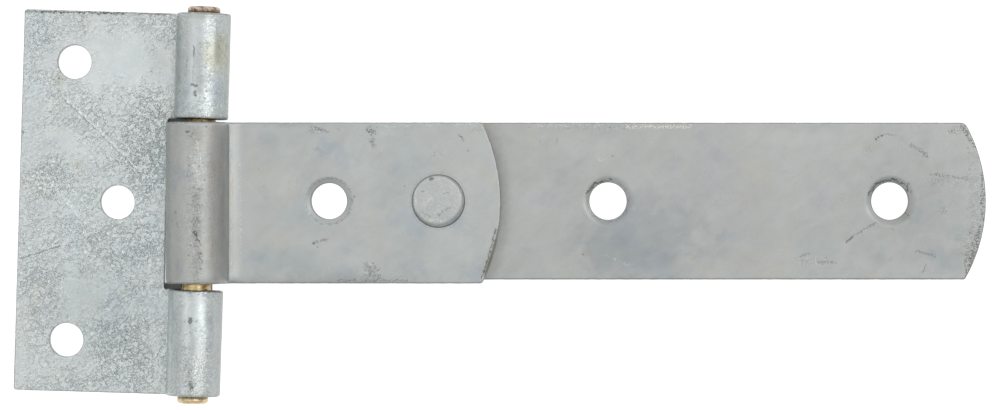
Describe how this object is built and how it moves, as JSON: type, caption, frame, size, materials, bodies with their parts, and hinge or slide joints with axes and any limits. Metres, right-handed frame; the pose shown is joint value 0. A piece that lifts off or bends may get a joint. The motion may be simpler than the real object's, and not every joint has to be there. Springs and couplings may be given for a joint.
{
  "type": "tee hinge",
  "caption": "Heavy tee hinge of galvanised steel: rolled leaf on a brass pin, with a long strap riveted to its knuckle plate.",
  "frame": {"origin": "on the mounting plane at the backs of leaf and strap, under the middle of the pin, on the strap's centreline", "axes": "+X from the pin along the strap to its tip, +Y along the pin to the upper end of the leaf, +Z out of the face, away from the surface it is screwed to"},
  "size_m": [0.3093, 0.1261, 0.0201],
  "materials": {
    "galvanised_leaf": "bright galvanised, pitted",
    "zinc_strap": "satin zinc, mottled",
    "brass_pin": "drawn brass, peened ends"
  },
  "bodies": {
    "leaf": {"leaf": "galvanised_leaf", "pin": "brass_pin"},
    "strap": {"knuckle_plate": "zinc_strap", "long_strap": "zinc_strap", "rivet": "zinc_strap"}
  },
  "joints": [
    {"name": "strap_swing", "type": "hinge", "parent": "leaf", "child": "strap", "pos_m": [0, 0, 0.00875], "axis": [-0.0297, -0.9996, 0], "range_deg": [0, 180]}
  ]
}
